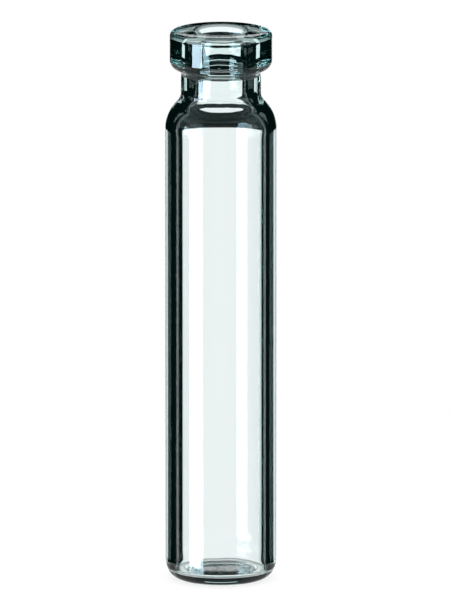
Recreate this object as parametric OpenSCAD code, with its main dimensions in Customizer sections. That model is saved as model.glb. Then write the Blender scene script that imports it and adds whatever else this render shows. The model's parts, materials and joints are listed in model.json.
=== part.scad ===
// Crimp-neck glass sample vial, 8 mm crimp finish.
// One piece of clear glass turned about the Z axis: a straight tube with a closed, slightly
// pushed-up base, a rounded shoulder, a short neck and a rolled flange for a crimp cap.
// Millimetres. The origin is the middle of the standing ring, +Z points out of the mouth.

/* [Body] */
// Outside diameter of the straight body
body_d = 8.1; // [7.8:0.05:8.8]
// Height from the standing ring to the top of the rim
total_h = 40.5; // [32:0.5:60]
// Glass thickness of the straight body
wall_t = 0.76; // [0.6:0.02:0.9]

/* [Base] */
// Height over which the body rounds into the standing ring
heel_h = 1.45; // [1.3:0.05:2]
// Width of that rounding
heel_w = 1.12; // [1.06:0.02:1.4]
// Rounding of its lower corner
heel_corner_r = 1; // [0.6:0.02:1.04]
// Width of the flat standing ring
foot_w = 0.2; // [0.05:0.05:1.2]
// Rise of the underside above the standing ring at the middle
push_up = 0.12; // [0.06:0.02:0.35]
// Glass thickness at the middle of the base
floor_t = 0.7; // [0.6:0.02:1.4]
// Rise of the inside floor from its edge to the middle
floor_rise = 0.14; // [0.04:0.02:0.3]
// Inside rounding between the floor and the wall
floor_r = 0.25; // [0.16:0.01:0.8]

/* [Shoulder and neck] */
// Outside diameter of the neck
neck_d = 5.82; // [5.5:0.02:6.1]
// Diameter of the bore through the neck
bore_d = 3.72; // [3.5:0.02:4.1]
// Height of the straight part of the neck
neck_h = 1.27; // [0.8:0.01:3]
// Height over which the shoulder narrows to the neck
shoulder_h = 2.68; // [2.4:0.02:3.4]
// Outside rounding where the shoulder runs into the neck
shoulder_fillet_r = 1.02; // [0.8:0.02:1.4]
// Height above the foot of the neck at which the bore begins to open into the body
throat_rise = 0.25; // [0:0.05:0.5]
// Height over which the bore opens into the body
throat_h = 3.14; // [2.8:0.02:3.6]
// Inside rounding where the bore begins to open
throat_r = 2.25; // [1.5:0.05:2.4]

/* [Crimp flange] */
// Outside diameter of the flange
flange_d = 7.44; // [7.2:0.02:7.7]
// Height of the straight band of the flange
land_h = 1.69; // [1.2:0.01:2]
// Height over which the underside of the flange narrows to the neck
underside_h = 1.13; // [1.05:0.01:1.6]
// Rounding where the neck runs into the underside of the flange
underside_fillet_r = 0.45; // [0.3:0.01:0.6]
// Height of the rounded edge between the straight band and the sealing ring
rim_h = 0.5; // [0.48:0.01:0.7]
// Rounding of the outer corner of the rim
rim_corner_r = 0.44; // [0.3:0.01:0.46]
// Width of the flat sealing ring on top of the rim
seal_w = 0.2; // [0.1:0.02:0.4]
// Rounding of the inner edge of the mouth
mouth_r = 0.45; // [0.3:0.01:0.5]
// How far the rolled lip stands into the bore
lip_roll = 0.1; // [0.04:0.01:0.16]
// Rounding where the bore runs into the rolled lip
lip_fillet_r = 1.2; // [0.8:0.05:1.6]

/* [Hidden] */
glass_color = [0.86, 0.94, 0.92, 0.45];
turn_steps = 180;
// How far the cavity is cut past the rim
overcut = 1;
// Neighbouring arcs cross by this much, so that they meet in one clean edge
lap = 0.0001;
// Depth of glass that one arc's slice takes in, at most
slice_depth = 1;

body_r = body_d / 2;
cavity_r = body_r - wall_t;
neck_r = neck_d / 2;
bore_r = bore_d / 2;
flange_r = flange_d / 2;

// Levels from the rim downward, so that a taller vial only gets a longer body
land_top = total_h - rim_h;
land_bottom = land_top - land_h;
neck_top = land_bottom - underside_h;
neck_bottom = neck_top - neck_h;
body_top = neck_bottom - shoulder_h;

// Heel: a wide arc beside the body and a tighter one down to the standing ring
foot_out = body_r - heel_w;
heel_r = oval_radius(heel_h, heel_w, heel_corner_r);
heel_center = [body_r - heel_r, heel_h];
heel_corner_center = [foot_out, heel_corner_r];
heel_lean = atan2(heel_h - heel_corner_r, foot_out - heel_center[0]);

// Standing ring and the dome of the underside
foot_in = foot_out - foot_w;
underside_r = dome_radius(foot_in, push_up);
underside_center = [0, push_up - underside_r];

// Dome of the inside floor and the rounding around it
floor_top = push_up + floor_t;
floor_dome_r = dome_radius(cavity_r, floor_rise);
floor_dome_center = [0, floor_top - floor_dome_r];
floor_corner_x = cavity_r - floor_r;
floor_corner_rise = leg(floor_dome_r + floor_r, floor_corner_x);
floor_corner_center = [floor_corner_x, tidy(floor_dome_center[1] + floor_corner_rise) - lap];
floor_lean = acos(floor_corner_x / (floor_dome_r + floor_r));

// Outside shoulder: an S-curve of a wide arc below and a fillet into the neck
shoulder_turn = s_turn(body_r - neck_r, shoulder_h);
shoulder_r = s_wide_radius(body_r - neck_r, shoulder_h, shoulder_fillet_r);
shoulder_center = [body_r - shoulder_r, body_top];
shoulder_fillet_center = [neck_r + shoulder_fillet_r, neck_bottom];

// Inside shoulder: an S-curve that opens the bore into the body
throat_top = neck_bottom + throat_rise;
throat_bottom = throat_top - throat_h;
throat_turn = s_turn(cavity_r - bore_r, throat_h);
inside_shoulder_r = s_wide_radius(cavity_r - bore_r, throat_h, throat_r);
inside_shoulder_center = [cavity_r - inside_shoulder_r, throat_bottom];
throat_center = [bore_r + throat_r, throat_top];

// Underside of the flange: the same S-curve turned over
underside_turn = s_turn(flange_r - neck_r, underside_h);
flange_edge_r = s_wide_radius(flange_r - neck_r, underside_h, underside_fillet_r);
flange_edge_center = [flange_r - flange_edge_r, land_bottom];
underside_fillet_center = [neck_r + underside_fillet_r, neck_top];

// Rim: a flat sealing ring with a wide crown arc and the corner arc outside it
seal_in = bore_r - lip_roll + mouth_r;
seal_out = seal_in + seal_w;
crown_r = oval_radius(flange_r - seal_out, rim_h, rim_corner_r);
crown_center = [seal_out, total_h - crown_r];
rim_corner_center = [flange_r - rim_corner_r, land_top];
crown_lean = atan2(land_top - crown_center[1], rim_corner_center[0] - seal_out);

// Mouth: the rounded lip, rolled inward, and the arc that leads from it into the bore
mouth_center = [seal_in, total_h - mouth_r];
lip_turn = acos(1 - lip_roll / (mouth_r + lip_fillet_r));
lip_end = tidy(mouth_center[1] - (mouth_r + lip_fillet_r) * sin(lip_turn)) + lap;
lip_center = [bore_r - lip_fillet_r, lip_end];

// Length to a ten-thousandth of a millimetre
function tidy(length) = round(length * 10000) / 10000;

// Radius of a dome that rises by "rise" over the half width "half"
function dome_radius(half, rise) = tidy((half * half + rise * rise) / (2 * rise));

// Other leg of a right-angled triangle
function leg(hypotenuse, side) = sqrt(hypotenuse * hypotenuse - side * side);

// Angle that each arc of an S-curve turns through, for a sideways step over a height
function s_turn(step, height) = 2 * atan(step / height);

// Radius of the wide arc of that S-curve, when its other arc has the radius "fillet"
function s_wide_radius(step, height, fillet) = tidy(height / sin(s_turn(step, height)) - fillet) + lap;

// Radius of the wide arc of a quarter oval of a given long and short side with a given corner arc
function oval_radius(long, short, corner) =
    tidy((pow(long - corner, 2) + short * short - corner * corner) / (2 * (short - corner))) - lap;

// Point at an angle on a circle
function on_circle(center, r, angle) = center + r * [cos(angle), sin(angle)];

// Angle by which an arc runs on past its neighbour
function past(r) = 3 / r;

// Point on the inner side of an arc's slice
function inner_point(center, r, angle) = on_circle(center, r - min(r / 2, slice_depth), angle);

// Slice of a disc between two angles less than 120 degrees apart, from the arc to a chord inside it
module arc_slice(center, r, from, to) {
    intersection() {
        translate(center)
            circle(r = r, $fn = turn_steps);
        polygon([
            inner_point(center, r, from),
            on_circle(center, 2 * r, from),
            on_circle(center, 2 * r, to),
            inner_point(center, r, to)
        ]);
    }
}

// Half section of the outside, filled to the axis
module outside_section() {
    difference() {
        union() {
            polygon([
                [0, 0],
                [foot_out, 0],
                inner_point(heel_corner_center, heel_corner_r, -heel_lean),
                [body_r, heel_h],
                [body_r, body_top],
                inner_point(shoulder_center, shoulder_r, shoulder_turn),
                inner_point(shoulder_fillet_center, shoulder_fillet_r, 180 + shoulder_turn),
                [neck_r, neck_bottom],
                [neck_r, neck_top],
                inner_point(underside_fillet_center, underside_fillet_r, 180 - underside_turn),
                inner_point(flange_edge_center, flange_edge_r, -underside_turn),
                [flange_r, land_bottom],
                [flange_r, land_top],
                inner_point(rim_corner_center, rim_corner_r, crown_lean),
                [seal_out, total_h],
                [0, total_h]
            ]);
            arc_slice(heel_corner_center, heel_corner_r, -90, past(heel_corner_r) - heel_lean);
            arc_slice(heel_center, heel_r, -heel_lean, 0);
            arc_slice(shoulder_center, shoulder_r, 0, shoulder_turn + past(shoulder_r));
            arc_slice(flange_edge_center, flange_edge_r, -underside_turn - past(flange_edge_r), 0);
            arc_slice(rim_corner_center, rim_corner_r, 0, crown_lean + past(rim_corner_r));
            arc_slice(crown_center, crown_r, crown_lean, 90);
        }
        arc_slice(underside_center, underside_r, acos(foot_in / underside_r) - past(underside_r), 90);
        arc_slice(shoulder_fillet_center, shoulder_fillet_r,
            180, 180 + shoulder_turn + past(shoulder_fillet_r));
        arc_slice(underside_fillet_center, underside_fillet_r,
            180 - underside_turn - past(underside_fillet_r), 180);
    }
}

// Half section of the space inside, from the floor out through the mouth
module cavity_section() {
    difference() {
        union() {
            polygon([
                [0, floor_top - slice_depth / 2],
                on_circle(floor_corner_center, 1.5 * floor_r, floor_lean - 180),
                inner_point(floor_corner_center, floor_r, floor_lean - 180),
                [cavity_r, floor_corner_center[1]],
                [cavity_r, throat_bottom],
                inner_point(inside_shoulder_center, inside_shoulder_r, throat_turn),
                inner_point(throat_center, throat_r, 180 + throat_turn),
                [bore_r, throat_top],
                [bore_r, lip_end],
                inner_point(lip_center, lip_fillet_r, lip_turn),
                inner_point(mouth_center, mouth_r, 180 + lip_turn),
                mouth_center,
                [seal_in, total_h + overcut],
                [0, total_h + overcut]
            ]);
            arc_slice(floor_corner_center, floor_r, floor_lean - 180 - past(floor_r), 0);
            arc_slice(inside_shoulder_center, inside_shoulder_r, 0, throat_turn + past(inside_shoulder_r));
            arc_slice(lip_center, lip_fillet_r, 0, lip_turn + past(lip_fillet_r));
        }
        arc_slice(floor_dome_center, floor_dome_r, floor_lean - past(floor_dome_r), 90);
        arc_slice(throat_center, throat_r, 180, 180 + throat_turn + past(throat_r));
        translate(mouth_center)
            circle(r = mouth_r, $fn = turn_steps);
    }
}

// The vial: one piece of glass
module vial() {
    color(glass_color)
        rotate_extrude($fn = turn_steps)
            difference() {
                outside_section();
                cavity_section();
            }
}

vial();
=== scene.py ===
"""Dresses a crimp-neck sample vial, turned from clear glass, and sets it in a small studio."""

import json
import logging
import math
from dataclasses import dataclass, field
from enum import Enum

import bmesh
import bpy
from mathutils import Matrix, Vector, noise


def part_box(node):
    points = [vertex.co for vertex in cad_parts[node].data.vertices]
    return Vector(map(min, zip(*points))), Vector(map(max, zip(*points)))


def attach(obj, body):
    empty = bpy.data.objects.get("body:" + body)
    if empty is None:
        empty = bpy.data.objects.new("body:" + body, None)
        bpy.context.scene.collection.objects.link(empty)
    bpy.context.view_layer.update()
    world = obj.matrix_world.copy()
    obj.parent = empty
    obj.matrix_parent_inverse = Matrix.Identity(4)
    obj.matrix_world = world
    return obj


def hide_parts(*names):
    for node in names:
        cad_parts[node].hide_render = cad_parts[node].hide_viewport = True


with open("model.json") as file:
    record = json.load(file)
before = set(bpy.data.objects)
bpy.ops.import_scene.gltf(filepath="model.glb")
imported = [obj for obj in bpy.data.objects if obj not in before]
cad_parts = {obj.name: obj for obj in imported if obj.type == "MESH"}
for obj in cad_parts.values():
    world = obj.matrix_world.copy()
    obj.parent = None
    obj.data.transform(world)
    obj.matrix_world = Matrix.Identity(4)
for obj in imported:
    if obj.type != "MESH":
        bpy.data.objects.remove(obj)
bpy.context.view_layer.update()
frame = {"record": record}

MM = 0.001

log = logging.getLogger("vial")

Colour = tuple[float, float, float]
Point = tuple[float, float]
Span = tuple[float, float]
Socket = bpy.types.NodeSocket

WHITE: Colour = (1.0, 1.0, 1.0)


class Ray(Enum):
    """Kinds of ray that a surface of the studio can tell apart."""

    CAMERA = "Is Camera Ray"
    GLOSSY = "Is Glossy Ray"
    TRANSMISSION = "Is Transmission Ray"


class Wiring:
    """Places and joins the nodes of one shader tree."""

    def __init__(self, tree: bpy.types.NodeTree) -> None:
        """Keeps the tree, emptied.

        Args:
            tree: The node tree of a material, a world or a group.
        """
        self.tree = tree
        tree.nodes.clear()

    def node(
        self, kind: str, sockets: dict[str | int, object] | None = None, **settings: object
    ) -> bpy.types.Node:
        """Adds one node.

        Args:
            kind: The node's type, as Blender names it without "ShaderNode".
            sockets: Values or sockets to join, by the name or number of the input.
            settings: Properties of the node itself.

        Returns:
            The new node.
        """
        made = self.tree.nodes.new(kind if kind.startswith("NodeGroup") else "ShaderNode" + kind)
        for name, value in settings.items():
            setattr(made, name, value)
        for key, value in (sockets or {}).items():
            if isinstance(value, Socket):
                self.tree.links.new(value, made.inputs[key])
            else:
                made.inputs[key].default_value = value
        return made

    def math(self, operation: str, *values: float | Socket, clamp: bool = False) -> Socket:
        """Adds a Math node.

        Args:
            operation: The node's operation.
            values: Its inputs in order.
            clamp: Whether the result is kept between 0 and 1.

        Returns:
            The node's output.
        """
        made = self.node("Math", dict(enumerate(values)), operation=operation, use_clamp=clamp)
        return made.outputs[0]

    def noise(self, place: Socket, scale: float | Socket, detail: float) -> Socket:
        """Adds a noise texture.

        Args:
            place: The coordinates it follows.
            scale: How many of its blotches lie in a metre.
            detail: How many finer layers it has.

        Returns:
            The noise, around 0.5.
        """
        sockets = {"Vector": place, "Scale": scale, "Detail": detail}
        return self.node("TexNoise", sockets).outputs["Fac"]

    def ramp(
        self, value: Socket, low: float | Socket, high: float | Socket, flip: bool = False
    ) -> Socket:
        """Adds a smooth step.

        Args:
            value: What runs through the step.
            low: Where the step starts.
            high: Where it ends.
            flip: Whether it falls from 1 to 0 in place of rising.

        Returns:
            The step's output, from 0 to 1.
        """
        first, last = (1.0, 0.0) if flip else (0.0, 1.0)
        sockets = {
            "Value": value,
            "From Min": low,
            "From Max": high,
            "To Min": first,
            "To Max": last,
        }
        return self.node("MapRange", sockets, interpolation_type="SMOOTHSTEP").outputs["Result"]

    def blend(self, factor: float | Socket, first: object, second: object) -> Socket:
        """Adds a colour mix.

        Args:
            factor: The share of the second colour.
            first: A colour or a colour socket.
            second: A colour or a colour socket.

        Returns:
            The mixed colour.
        """
        made = self.node("Mix", {0: factor, 6: first, 7: second}, data_type="RGBA")
        return made.outputs[2]

    def rays(self, *kinds: Ray) -> Socket:
        """Adds a Light Path node and sums some of its outputs.

        Args:
            kinds: The kinds of ray to let through.

        Returns:
            1 for those rays and 0 for the others.
        """
        path = self.node("LightPath")
        total = path.outputs[kinds[0].value]
        for kind in kinds[1:]:
            total = self.math("ADD", total, path.outputs[kind.value], clamp=True)
        return total


def opaque(colour: Colour) -> tuple[float, float, float, float]:
    """A colour with full alpha, as colour sockets take it."""
    return (*colour, 1.0)


def start_group(
    name: str, inputs: dict[str, object], outputs: dict[str, str]
) -> tuple[bpy.types.NodeTree, Wiring]:
    """Starts a shader node group.

    Args:
        name: The group's name.
        inputs: Default value by input name: a number, or four numbers for a colour.
        outputs: Socket type by output name.

    Returns:
        The group and its wiring.
    """
    tree = bpy.data.node_groups.new(name, "ShaderNodeTree")
    for label, value in inputs.items():
        kind = "NodeSocketFloat" if isinstance(value, float) else "NodeSocketColor"
        tree.interface.new_socket(label, in_out="INPUT", socket_type=kind).default_value = value
    for label, kind in outputs.items():
        tree.interface.new_socket(label, in_out="OUTPUT", socket_type=kind)
    return tree, Wiring(tree)


def start_material(name: str) -> tuple[bpy.types.Material, Wiring]:
    """Starts a material with an empty node tree.

    Args:
        name: The material's name.

    Returns:
        The material and its wiring.
    """
    made = bpy.data.materials.new(name)
    made.use_nodes = True
    return made, Wiring(made.node_tree)


def set_down(bm: bmesh.types.BMesh, name: str, finish: bpy.types.Material) -> bpy.types.Object:
    """Turns a finished shape into an object of the scene.

    Args:
        bm: The shape, which is freed.
        name: The name of the object and of its mesh.
        finish: Its material.

    Returns:
        The object, at the origin and unturned.
    """
    mesh = bpy.data.meshes.new(name)
    bm.to_mesh(mesh)
    bm.free()
    mesh.materials.append(finish)
    made = bpy.data.objects.new(name, mesh)
    bpy.context.scene.collection.objects.link(made)
    return made


class SectionPen:
    """Draws a half section with bmesh operators and turns it into a closed solid."""

    merge_within: float = 1e-4 * MM
    shortest_edge: float = 1e-5 * MM

    def __init__(self, start: Point) -> None:
        """Sets the pen down.

        Args:
            start: Radius and height of the first point, in millimetres.
        """
        self.bm = bmesh.new()
        self.tip = self.bm.verts.new(self.place(start))

    @staticmethod
    def place(point: Point) -> Vector:
        """A point of the section, in metres."""
        return Vector((point[0], 0.0, point[1])) * MM

    def line(self, to: Point, stops: tuple[float, ...] = ()) -> None:
        """Draws a straight line.

        Args:
            to: Where it ends.
            stops: Shares of its length at which it gets a point.
        """
        start, end = self.tip.co.copy(), self.place(to)
        for share in (*stops, 1.0):
            made = bmesh.ops.extrude_vert_indiv(self.bm, verts=[self.tip])
            self.tip = made["verts"][0]
            self.tip.co = start.lerp(end, share)

    def wall(self, to: Point, guard: float = 0.04) -> None:
        """Draws a straight wall with a point close to each end, so that its shading stays straight.

        Args:
            to: Where it ends.
            guard: Distance of those points from the ends, in millimetres.
        """
        length = (self.place(to) - self.tip.co).length / MM
        near = min(guard / length, 0.2)
        self.line(to, stops=(near, 0.25, 0.5, 0.75, 1.0 - near))

    def arc(self, centre: Point, turn: float, step: float = 3.0) -> None:
        """Carries the pen round a centre.

        Args:
            centre: The arc's centre.
            turn: Angle in degrees, anticlockwise when positive.
            step: Largest angle between two points.
        """
        made = bmesh.ops.spin(
            self.bm,
            geom=[self.tip],
            cent=self.place(centre),
            axis=(0.0, -1.0, 0.0),
            dvec=(0.0, 0.0, 0.0),
            angle=math.radians(turn),
            steps=max(2, math.ceil(abs(turn) / step)),
            use_merge=False,
            use_duplicate=False,
        )
        self.tip = next(item for item in made["geom_last"] if isinstance(item, bmesh.types.BMVert))

    def turn(self, steps: int) -> bmesh.types.BMesh:
        """Turns the section once round the Z axis.

        Args:
            steps: Number of steps round the axis.

        Returns:
            The closed solid, with its faces outward.
        """
        bmesh.ops.spin(
            self.bm,
            geom=[*self.bm.verts, *self.bm.edges],
            cent=(0.0, 0.0, 0.0),
            axis=(0.0, 0.0, 1.0),
            dvec=(0.0, 0.0, 0.0),
            angle=math.tau,
            steps=steps,
            use_merge=True,
            use_duplicate=False,
        )
        bmesh.ops.remove_doubles(self.bm, verts=self.bm.verts, dist=self.merge_within)
        bmesh.ops.dissolve_degenerate(self.bm, edges=self.bm.edges, dist=self.shortest_edge)
        bmesh.ops.recalc_face_normals(self.bm, faces=self.bm.faces)
        return self.bm


@dataclass(frozen=True)
class SCurve:
    """Two arcs that lead from a wide upright wall to a narrow one above it.

    Wide and narrow are the radii of the two walls, low and high the heights at which the arcs
    meet them, and the fillet is the radius of the arc beside the narrow wall.
    """

    wide: float
    narrow: float
    low: float
    high: float
    fillet: float

    @property
    def turn(self) -> float:
        """Angle in degrees that each arc turns through."""
        return 2.0 * math.degrees(math.atan((self.wide - self.narrow) / (self.high - self.low)))

    @property
    def wide_centre(self) -> Point:
        """Centre of the arc beside the wide wall."""
        radius = (self.high - self.low) / math.sin(math.radians(self.turn)) - self.fillet
        return self.wide - radius, self.low

    @property
    def narrow_centre(self) -> Point:
        """Centre of the arc beside the narrow wall."""
        return self.narrow + self.fillet, self.high


@dataclass(frozen=True)
class OvalCorner:
    """A quarter of an oval between an upright and a level line: a wide arc and a tight one.

    Along is the length of its longer side, across that of its shorter side, and the corner is
    the radius of the tight arc.
    """

    along: float
    across: float
    corner: float

    @property
    def wide(self) -> float:
        """Radius of the wide arc, which leaves the line of the longer side."""
        rest = (self.along - self.corner) ** 2 + self.across**2 - self.corner**2
        return rest / (2.0 * (self.across - self.corner))

    @property
    def lean(self) -> float:
        """Angle in degrees that the wide arc turns through."""
        return math.degrees(math.atan2(self.along - self.corner, self.wide - self.across))


@dataclass(frozen=True)
class ClearGlass:
    """Clear, fire-polished glass with a faint blue-green tint in its depth.

    Its base colour carries a painted shade, a dark teal where the surface turns away from the eye,
    standing in for the dark bands that refraction shows there: the painted shade values are the
    shares of Facing at which it starts, is full and has ended. Scales are per metre.
    """

    ior: float = 1.515
    tint: Colour = (0.25, 0.78, 0.76)
    density: float = 95.0
    # Colour of the painted shade where the glass faces away from the eye.
    painted_edge_shade: Colour = (0.16, 0.34, 0.32)
    painted_shade_start: float = 0.4
    painted_shade_full: float = 0.62
    painted_shade_end: float = 0.72
    line_scale: float = 260.0
    line_squeeze: float = 0.02
    line_strength: float = 0.012
    haze_scale: float = 420.0
    haze_span: Span = (0.52, 0.78)
    haze_roughness: float = 0.03

    def marks_group(self) -> bpy.types.NodeTree:
        """Builds the group for the faint lines along a drawn tube and the haze of handling.

        Returns:
            The group, with a height for the bump and a haze from 0 to 1 as outputs.
        """
        inputs = {"Lines": self.line_scale, "Blotches": self.haze_scale}
        outputs = {"Height": "NodeSocketFloat", "Haze": "NodeSocketFloat"}
        tree, wiring = start_group("forming_marks", inputs, outputs)
        given = wiring.node("NodeGroupInput").outputs
        place = wiring.node("TexCoord").outputs["Object"]
        squeeze = {"Vector": place, "Scale": (1.0, 1.0, self.line_squeeze)}
        along = wiring.node("Mapping", squeeze).outputs[0]
        lines = wiring.noise(along, given["Lines"], detail=3.0)
        blotches = wiring.noise(place, given["Blotches"], detail=4.0)
        haze = wiring.ramp(blotches, *self.haze_span)
        wiring.node("NodeGroupOutput", {"Height": lines, "Haze": haze})
        return tree

    def material(self) -> bpy.types.Material:
        """Builds the material.

        Returns:
            Glass that reads Object coordinates for its forming marks, with a painted shade at its
            edges.
        """
        made, wiring = start_material("clear_glass")
        marks = wiring.node("Group", node_tree=self.marks_group()).outputs
        # Painted shade: the base colour turns dark teal where the surface faces away from the eye.
        facing = wiring.node("LayerWeight", {"Blend": 0.5}).outputs["Facing"]
        rising = wiring.ramp(facing, self.painted_shade_start, self.painted_shade_full)
        falling = wiring.ramp(facing, self.painted_shade_full, self.painted_shade_end, flip=True)
        painted_edge_shade = wiring.math("MULTIPLY", rising, falling)
        relief = {"Strength": self.line_strength, "Distance": MM, "Height": marks["Height"]}
        surface = wiring.node(
            "BsdfPrincipled",
            {
                "Base Color": wiring.blend(painted_edge_shade, opaque(WHITE), opaque(self.painted_edge_shade)),
                "Metallic": 0.0,
                "Roughness": wiring.math("MULTIPLY", marks["Haze"], self.haze_roughness),
                "IOR": self.ior,
                "Transmission Weight": 1.0,
                "Normal": wiring.node("Bump", relief).outputs[0],
            },
        )
        tint = {"Color": opaque(self.tint), "Density": self.density}
        depth = wiring.node("VolumeAbsorption", tint)
        wiring.node("OutputMaterial", {"Surface": surface.outputs[0], "Volume": depth.outputs[0]})
        return made


@dataclass(frozen=True)
class Waves:
    """Smooth, irregular waves over a turned surface.

    Around and upward are how close they lie round it and up it, and start picks the stretch of
    noise that they follow.
    """

    around: float
    upward: float
    start: tuple[float, float, float] = (0.0, 0.0, 0.0)

    def swing(self, outward: Vector, height: float) -> float:
        """Reads the waves at a point.

        Args:
            outward: Level direction from the axis to the point, of length 1.
            height: The point's height in millimetres.

        Returns:
            The swing of the surface there, from about -1 to 1.
        """
        place = Vector((*(outward * self.around), height * self.upward))
        return noise.noise(place + Vector(self.start))


@dataclass(frozen=True)
class Unevenness:
    """What drawing and flame forming leave on the inner surface of a tube. Millimetres.

    The neck, the shoulder and the base were formed in the flame, so they are less even than the
    drawn tube between them. The base shares only a part of the flame's depth.
    """

    flame_depth: float = 0.02
    drawn_depth: float = 0.006
    shoulder_fade: float = 1.5
    base_share: float = 0.5
    base_top: float = 2.2
    base_fade: float = 1.2
    ripple_share: float = 0.6
    swell: Waves = Waves(2.2, 0.55)
    ripple: Waves = Waves(5.0, 1.7, (7.3, 1.9, 4.1))
    drawn: Waves = Waves(3.4, 0.012, (3.1, 8.7, 0.6))

    def depth(self, outward: Vector, height: float, tube_top: float) -> float:
        """Works out how far a point of the inner surface lies further out.

        Args:
            outward: Level direction from the axis to the point, of length 1.
            height: The point's height.
            tube_top: Where the straight tube ends and the shoulder starts inside.

        Returns:
            The distance, negative where the point lies further in.
        """
        shoulder = min(1.0, (height - tube_top) / self.shoulder_fade)
        base = self.base_share * min(1.0, (self.base_top - height) / self.base_fade)
        flame = max(0.0, shoulder, base)
        swell, ripple = self.swell.swing(outward, height), self.ripple.swing(outward, height)
        formed = flame * self.flame_depth * (swell + self.ripple_share * ripple)
        return formed + self.drawn_depth * self.drawn.swing(outward, height)


@dataclass(frozen=True)
class GlassVial:
    """The vial: body, base, shoulder, neck and rolled flange, turned in one piece. Millimetres.

    The inner surface keeps its exact shape in the middle of the floor, out to even_floor_r, and
    at the rim, down to even_rim below it. Slack is the play with which a point counts as part of
    a surface.
    """

    body_r: float
    height: float
    bore_r: float
    flange_r: float

    wall: float = 0.76
    neck_r: float = 2.91
    body_top: float = 33.23
    neck_bottom: float = 35.91
    neck_top: float = 37.18
    land_bottom: float = 38.31
    land_top: float = 40.0

    heel_width: float = 1.12
    heel_height: float = 1.45
    heel_corner_r: float = 1.0
    foot_width: float = 0.2
    push_up: float = 0.12
    floor_top: float = 0.82
    floor_rise: float = 0.14
    floor_corner_r: float = 0.25

    shoulder_fillet: float = 1.02
    throat_r: float = 2.25
    throat_top: float = 36.16
    throat_bottom: float = 33.02

    underside_fillet: float = 0.45
    rim_corner_r: float = 0.44
    seal_width: float = 0.2
    mouth_r: float = 0.45
    lip_bulge: float = 0.1
    lip_fillet: float = 1.2

    turn_steps: int = 240
    push_up_steps: int = 14
    floor_steps: int = 20

    even_floor_r: float = 1.0
    even_rim: float = 0.5
    even_rim_fade: float = 0.4
    slack: float = 0.05
    unevenness: Unevenness = field(default_factory=Unevenness)
    glass: ClearGlass = field(default_factory=ClearGlass)

    @property
    def cavity_r(self) -> float:
        """Radius of the chamber in the straight tube."""
        return self.body_r - self.wall

    @property
    def lip_r(self) -> float:
        """Radius of the mouth at its narrowest, where the glass is rolled inward."""
        return self.bore_r - self.lip_bulge

    def outside(self, pen: SectionPen) -> None:
        """Draws the outside, from the axis under the base to the sealing ring.

        Args:
            pen: The pen, set down on the axis.
        """
        foot_out = self.body_r - self.heel_width
        foot_in = foot_out - self.foot_width
        dome_r = (foot_in**2 + self.push_up**2) / (2.0 * self.push_up)
        dome_turn = math.degrees(math.asin(foot_in / dome_r))
        heel = OvalCorner(self.heel_height, self.heel_width, self.heel_corner_r)
        pen.arc((0.0, self.push_up - dome_r), -dome_turn, step=dome_turn / self.push_up_steps)
        pen.line((foot_out, 0.0), stops=(0.06, 0.94))
        pen.arc((foot_out, self.heel_corner_r), 90.0 - heel.lean)
        pen.arc((self.body_r - heel.wide, self.heel_height), heel.lean)
        pen.wall((self.body_r, self.body_top))
        shoulder = SCurve(
            self.body_r, self.neck_r, self.body_top, self.neck_bottom, self.shoulder_fillet
        )
        pen.arc(shoulder.wide_centre, shoulder.turn)
        pen.arc(shoulder.narrow_centre, -shoulder.turn)
        pen.wall((self.neck_r, self.neck_top))
        self.flange(pen)

    def flange(self, pen: SectionPen) -> None:
        """Draws the rolled flange, from the top of the neck to the sealing ring.

        Args:
            pen: The pen, at the top of the neck's outside.
        """
        rise = self.land_bottom - self.neck_top
        turn = 2.0 * math.degrees(math.atan((self.flange_r - self.neck_r) / rise))
        edge_r = rise / math.sin(math.radians(turn)) - self.underside_fillet
        pen.arc((self.neck_r + self.underside_fillet, self.neck_top), -turn)
        pen.arc((self.flange_r - edge_r, self.land_bottom), turn)
        pen.wall((self.flange_r, self.land_top))
        seal_out = self.lip_r + self.mouth_r + self.seal_width
        rim = OvalCorner(self.flange_r - seal_out, self.height - self.land_top, self.rim_corner_r)
        pen.arc((self.flange_r - self.rim_corner_r, self.land_top), 90.0 - rim.lean)
        pen.arc((seal_out, self.height - rim.wide), rim.lean)

    def inside(self, pen: SectionPen) -> None:
        """Draws the inside, from the sealing ring to the axis on the floor.

        Args:
            pen: The pen, at the outer border of the sealing ring.
        """
        mouth_x, mouth_z = self.lip_r + self.mouth_r, self.height - self.mouth_r
        reach = self.mouth_r + self.lip_fillet
        lip_turn = math.degrees(math.acos(1.0 - self.lip_bulge / reach))
        lip_end = mouth_z - reach * math.sin(math.radians(lip_turn))
        pen.line((mouth_x, self.height), stops=(0.08, 0.92))
        pen.arc((mouth_x, mouth_z), 90.0 + lip_turn)
        pen.arc((self.bore_r - self.lip_fillet, lip_end), -lip_turn)
        pen.wall((self.bore_r, self.throat_top))
        throat = SCurve(
            self.cavity_r, self.bore_r, self.throat_bottom, self.throat_top, self.throat_r
        )
        pen.arc(throat.narrow_centre, throat.turn)
        pen.arc(throat.wide_centre, -throat.turn)
        self.chamber_floor(pen)

    def chamber_floor(self, pen: SectionPen) -> None:
        """Draws the chamber's wall, its rounded corner and its domed floor.

        Args:
            pen: The pen, where the straight wall of the chamber starts.
        """
        dome_r = (self.cavity_r**2 + self.floor_rise**2) / (2.0 * self.floor_rise)
        dome_z = self.floor_top - dome_r
        reach = dome_r + self.floor_corner_r
        corner_x = self.cavity_r - self.floor_corner_r
        corner_z = dome_z + math.sqrt(reach**2 - corner_x**2)
        lean = math.degrees(math.acos(corner_x / reach))
        pen.wall((self.cavity_r, corner_z))
        pen.arc((corner_x, corner_z), lean - 180.0)
        pen.arc((0.0, dome_z), 90.0 - lean, step=(90.0 - lean) / self.floor_steps)

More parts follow.
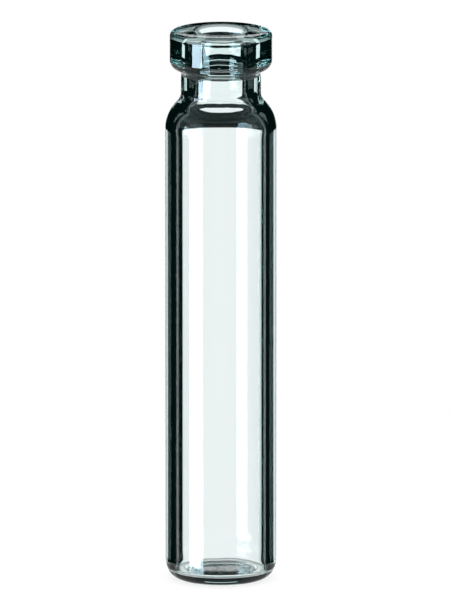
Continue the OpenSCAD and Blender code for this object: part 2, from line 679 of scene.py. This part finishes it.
    def uneven(self, radius: float, height: float) -> bool:
        """Tells the points that forming moves from those that stay.

        Args:
            radius: The point's distance from the axis.
            height: The point's height.

        Returns:
            Whether it lies on the inner surface, between the middle of the floor and the rim.
        """
        lowest = self.floor_top - self.floor_rise - self.slack
        above_base = lowest < height <= self.height - self.even_rim
        in_chamber = self.even_floor_r < radius <= self.cavity_r + self.slack
        outside_neck = height > self.body_top and radius > self.neck_r - self.slack
        return above_base and in_chamber and not outside_neck

    def form(self, bm: bmesh.types.BMesh) -> None:
        """Moves the inner surface by the unevenness of formed glass, which fades out at the rim.

        Args:
            bm: The turned solid.
        """
        for vert in bm.verts:
            radius, height = math.hypot(vert.co.x, vert.co.y) / MM, vert.co.z / MM
            if not self.uneven(radius, height):
                continue
            outward = vert.co.xy.normalized()
            depth = self.unevenness.depth(outward, height, self.throat_bottom)
            depth *= min(1.0, (self.height - self.even_rim - height) / self.even_rim_fade)
            vert.co.xy += outward * min(depth, self.unevenness.flame_depth) * MM

    def build(self) -> bpy.types.Object:
        """Turns the vial and gives it its glass.

        Returns:
            The finished piece, in place of the plain solid.
        """
        pen = SectionPen((0.0, self.push_up))
        self.outside(pen)
        self.inside(pen)
        bm = pen.turn(self.turn_steps)
        self.form(bm)
        piece = set_down(bm, "glass_vial", self.glass.material())
        piece.data.shade_smooth()
        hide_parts("vial")
        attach(piece, "root")
        log.info("%s: %d faces", piece.name, len(piece.data.polygons))
        return piece


@dataclass(frozen=True)
class BackCard:
    """An upright white card that the glass shows and the camera looks past. Millimetres."""

    distance: float = 213.0
    left: float = -57.0
    right: float = 78.0
    low: float = -106.0
    high: float = 12.0
    white: Colour = (1.1, 1.1, 1.1)
    grain_scale: float = 60.0
    grain_shade: float = 0.98

    def material(self) -> bpy.types.Material:
        """Builds the card's evenly lit white, with a faint paper grain.

        Returns:
            A material that only reflected and refracted rays meet.
        """
        made, wiring = start_material("white_card")
        place = wiring.node("TexCoord").outputs["Object"]
        grain = wiring.noise(place, self.grain_scale, detail=2.0)
        shade: Colour = tuple(self.grain_shade * part for part in self.white)
        paper = wiring.blend(grain, opaque(shade), opaque(self.white))
        lit = wiring.node("Emission", {"Color": paper, "Strength": 1.0}).outputs[0]
        clear = wiring.node("BsdfTransparent").outputs[0]
        shown = wiring.rays(Ray.GLOSSY, Ray.TRANSMISSION)
        mixed = wiring.node("MixShader", {0: shown, 1: clear, 2: lit}).outputs[0]
        wiring.node("OutputMaterial", {"Surface": mixed})
        return made

    def build(self) -> bpy.types.Object:
        """Stands the card up behind the vial.

        Returns:
            The card.
        """
        bm = bmesh.new()
        corners = (
            (self.left, self.low),
            (self.right, self.low),
            (self.right, self.high),
            (self.left, self.high),
        )
        bm.faces.new([bm.verts.new(Vector((x, self.distance, z)) * MM) for x, z in corners])
        made = set_down(bm, "back_card", self.material())
        return made


@dataclass(frozen=True)
class Floor:
    """A plain pale floor that fades out into the white surround. Millimetres.

    Most of what the camera sees of it is its own glow, which keeps the vial's shadow faint.
    """

    radius: float = 60.0
    gap: float = 0.02
    sides: int = 96
    fade_span: Span = (0.6, 0.98)
    glow: float = 0.8
    paint: float = 0.32
    roughness: float = 0.9
    fibre_scale: float = 900.0
    dark_fibres: Colour = (0.88, 0.88, 0.88)
    pale_fibres: Colour = (0.92, 0.92, 0.92)

    def material(self) -> bpy.types.Material:
        """Builds the floor's pale matt finish.

        Returns:
            A material that the camera sees and the glass looks through.
        """
        made, wiring = start_material("pale_floor")
        place = wiring.node("TexCoord").outputs["Object"]
        parts = wiring.node("SeparateXYZ", {0: place}).outputs
        flat = wiring.node("CombineXYZ", {"X": parts["X"], "Y": parts["Y"]}).outputs[0]
        distance = wiring.node("VectorMath", {0: flat}, operation="LENGTH").outputs["Value"]
        fade_start, fade_end = (share * self.radius * MM for share in self.fade_span)
        disc = wiring.ramp(distance, fade_start, fade_end, flip=True)
        shown = wiring.math("SUBTRACT", 1.0, wiring.rays(Ray.GLOSSY, Ray.TRANSMISSION))
        seen = wiring.rays(Ray.CAMERA, Ray.GLOSSY, Ray.TRANSMISSION)
        fibres = wiring.noise(place, self.fibre_scale, detail=3.0)
        shade = wiring.blend(fibres, opaque(self.dark_fibres), opaque(self.pale_fibres))
        paint = wiring.node("VectorMath", {0: shade, "Scale": self.paint}, operation="SCALE")
        surface = wiring.node(
            "BsdfPrincipled",
            {
                "Base Color": paint.outputs[0],
                "Roughness": self.roughness,
                "Specular IOR Level": 0.0,
                "Emission Color": opaque(WHITE),
                "Emission Strength": wiring.math("MULTIPLY", seen, self.glow),
                "Alpha": wiring.math("MULTIPLY", disc, shown),
            },
        )
        wiring.node("OutputMaterial", {"Surface": surface.outputs[0]})
        return made

    def build(self) -> bpy.types.Object:
        """Lays the floor just under the vial.

        Returns:
            The floor.
        """
        bm = bmesh.new()
        bmesh.ops.create_circle(bm, cap_ends=True, segments=self.sides, radius=self.radius * MM)
        bmesh.ops.translate(bm, verts=bm.verts, vec=(0.0, 0.0, -self.gap * MM))
        made = set_down(bm, "floor", self.material())
        return made


@dataclass(frozen=True)
class Panel:
    """A panel of light round the vial, given by the directions it fills, in degrees.

    Azimuth 0 is straight behind the vial and 90 to its right. Elevation is above the horizon.
    Softness is the width of the fade at its edges, to each side of them.
    """

    azimuth: Span
    elevation: Span
    colour: Colour
    softness: float = 1.0

    def sockets(self) -> dict[str | int, object]:
        """Gives the panel's own inputs of the light panel's node group.

        Returns:
            Value by input name.
        """
        return {
            "Centre": sum(self.azimuth) / 2.0,
            "Half Width": (self.azimuth[1] - self.azimuth[0]) / 2.0,
            "Middle": sum(self.elevation) / 2.0,
            "Half Height": (self.elevation[1] - self.elevation[0]) / 2.0,
            "Softness": self.softness,
            "Panel": opaque(self.colour),
        }


@dataclass(frozen=True)
class Studio:
    """A pale floor, a white card and the surround with the light panels that the glass shows.

    Each panel lies over those before it. The first three reach all round below the horizon, so
    that the glass is clear from the sides and from above. The next three tone them down, on the
    camera's side for the shoulder's dark front, and behind. The last four are the lights whose
    streaks run along the glass.
    """

    dark: Colour = (0.0012, 0.006, 0.0055)
    plain_light: Colour = WHITE
    card: BackCard = field(default_factory=BackCard)
    floor: Floor = field(default_factory=Floor)
    panels: tuple[Panel, ...] = (
        Panel((-181.0, 181.0), (-91.0, -62.0), (0.35, 0.36, 0.36)),
        Panel((-181.0, 181.0), (-62.0, -32.0), (0.45, 0.46, 0.46)),
        Panel((-181.0, 181.0), (-32.0, -14.0), (0.8, 0.82, 0.82), 0.4),
        Panel((110.0, 182.0), (-62.0, -22.0), (0.2, 0.205, 0.205), 2.0),
        Panel((-182.0, -110.0), (-62.0, -22.0), (0.2, 0.205, 0.205), 2.0),
        Panel((-60.0, 60.0), (-27.0, -16.5), (0.4, 0.41, 0.41), 0.4),
        Panel((-137.0, -112.0), (-13.4, -7.0), (13.0, 17.5, 20.5), 0.4),
        Panel((-138.0, -97.0), (-7.0, 12.0), (6.0, 7.8, 8.8), 2.0),
        Panel((97.0, 137.0), (-8.0, 15.0), (1.2, 1.4, 1.5), 2.0),
        Panel((-14.0, 14.0), (16.0, 22.0), (1.4, 1.46, 1.46)),
    )

    def panel_group(self) -> bpy.types.NodeTree:
        """Builds the group that lays one panel over what is behind it.

        Returns:
            The group, with the direction's azimuth and elevation and the panel's extent as inputs.
        """
        inputs = {
            "Behind": opaque(self.dark),
            "Azimuth": 0.0,
            "Elevation": 0.0,
            "Centre": 0.0,
            "Half Width": 10.0,
            "Middle": 0.0,
            "Half Height": 10.0,
            "Softness": 1.0,
            "Panel": opaque(WHITE),
        }
        tree, wiring = start_group("light_panel", inputs, {"Colour": "NodeSocketColor"})
        given = wiring.node("NodeGroupInput").outputs
        masks = []
        for angle, centre, half in (
            ("Azimuth", "Centre", "Half Width"),
            ("Elevation", "Middle", "Half Height"),
        ):
            apart = wiring.math("ABSOLUTE", wiring.math("SUBTRACT", given[angle], given[centre]))
            inner = wiring.math("SUBTRACT", given[half], given["Softness"])
            outer = wiring.math("ADD", given[half], given["Softness"])
            masks.append(wiring.ramp(apart, inner, outer, flip=True))
        mask = wiring.math("MULTIPLY", *masks)
        laid = wiring.blend(mask, given["Behind"], given["Panel"])
        wiring.node("NodeGroupOutput", {"Colour": laid})
        return tree

    def surround(self) -> None:
        """Makes the world: white to the camera, panels to the glass, plain light to the rest."""
        world = bpy.data.worlds.new("studio")
        bpy.context.scene.world = world
        world.use_nodes = True
        wiring = Wiring(world.node_tree)
        towards = wiring.node("TexCoord").outputs["Generated"]
        parts = wiring.node("SeparateXYZ", {0: towards}).outputs
        azimuth = wiring.math("DEGREES", wiring.math("ARCTAN2", parts["X"], parts["Y"]))
        elevation = wiring.math("DEGREES", wiring.math("ARCSINE", parts["Z"]))
        panel_tree = self.panel_group()
        seen: object = opaque(self.dark)
        for panel in self.panels:
            direction = {"Behind": seen, "Azimuth": azimuth, "Elevation": elevation}
            laid = wiring.node("Group", direction | panel.sockets(), node_tree=panel_tree)
            seen = laid.outputs[0]
        glass_rays = wiring.rays(Ray.GLOSSY, Ray.TRANSMISSION)
        colour = wiring.blend(glass_rays, opaque(self.plain_light), seen)
        colour = wiring.blend(wiring.rays(Ray.CAMERA), colour, opaque(WHITE))
        light = wiring.node("Background", {"Color": colour, "Strength": 1.0})
        wiring.node("OutputWorld", {"Surface": light.outputs[0]})

    def build(self) -> None:
        """Sets up the surround, the card and the floor."""
        self.surround()
        self.card.build()
        self.floor.build()


@dataclass(frozen=True)
class ProductCamera:
    """A long lens that looks a little down at the vial. Millimetres and degrees."""

    distance: float = 1400.0
    elevation: float = 11.76
    picture_height: float = 43.51
    aim_right: float = 0.29
    aim_up: float = 0.27
    sensor: float = 36.0
    nearest: float = 100.0
    farthest: float = 10000.0

    def build(self, middle: float) -> bpy.types.Object:
        """Places the camera in front of the vial.

        Args:
            middle: Height of the vial's middle.

        Returns:
            The scene's camera.
        """
        tilt = math.radians(self.elevation)
        back = Vector((0.0, -math.cos(tilt), math.sin(tilt)))
        up = Vector((0.0, math.sin(tilt), math.cos(tilt)))
        aim = Vector((self.aim_right, 0.0, middle)) + up * self.aim_up
        data = bpy.data.cameras.new("camera")
        data.sensor_width = self.sensor
        data.lens = self.sensor * self.distance / self.picture_height
        data.clip_start, data.clip_end = self.nearest * MM, self.farthest * MM
        made = bpy.data.objects.new("camera", data)
        made.location = (aim + back * self.distance) * MM
        made.rotation_mode = "QUATERNION"
        made.rotation_quaternion = (-back).to_track_quat("-Z", "Y")
        bpy.context.scene.collection.objects.link(made)
        bpy.context.scene.camera = made
        return made


def mount_radius(name: str) -> float:
    """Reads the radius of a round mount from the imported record.

    Args:
        name: The mount's name.

    Returns:
        Its radius in millimetres.
    """
    mounts = frame["record"]["mounts"]
    return next(entry for entry in mounts if entry["name"] == name)["dims"]["r_mm"]


def main() -> None:
    """Builds the camera, the vial and the studio in that order."""
    logging.basicConfig(level=logging.INFO, format="%(name)s: %(message)s")
    bpy.context.scene.view_settings.view_transform = "Standard"
    low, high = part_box("vial")
    vial = GlassVial(
        body_r=(high.x - low.x) / 2.0 / MM,
        height=high.z / MM,
        bore_r=mount_radius("mouth"),
        flange_r=mount_radius("crimp_flange"),
    )
    ProductCamera().build(vial.height / 2.0)
    vial.build()
    Studio().build()


if __name__ == "__main__":
    main()
